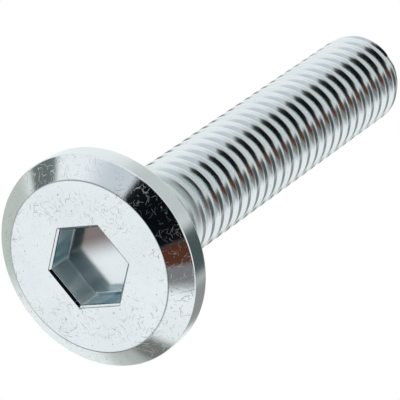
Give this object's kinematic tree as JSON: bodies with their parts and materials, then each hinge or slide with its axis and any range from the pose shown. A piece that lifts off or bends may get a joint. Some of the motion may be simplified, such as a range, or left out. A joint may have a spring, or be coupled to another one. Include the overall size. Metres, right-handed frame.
{
  "type": "furniture connector bolt",
  "caption": "Bright zinc-plated connector bolt with a wide flat bevelled head, a hexagon key socket and a shank threaded up to the head.",
  "frame": {"origin": "middle of the head's flat face, which the bolt stands on", "axes": "+Z runs along the shank from the head to the tip; +X passes through a corner of the hexagon socket"},
  "size_m": [0.017, 0.017, 0.0441],
  "materials": {
    "bright_zinc": "bright zinc plating on formed steel, mirror-like with fine scratches and specks"
  },
  "bodies": {
    "root": {"bolt": "bright_zinc"}
  },
  "joints": []
}
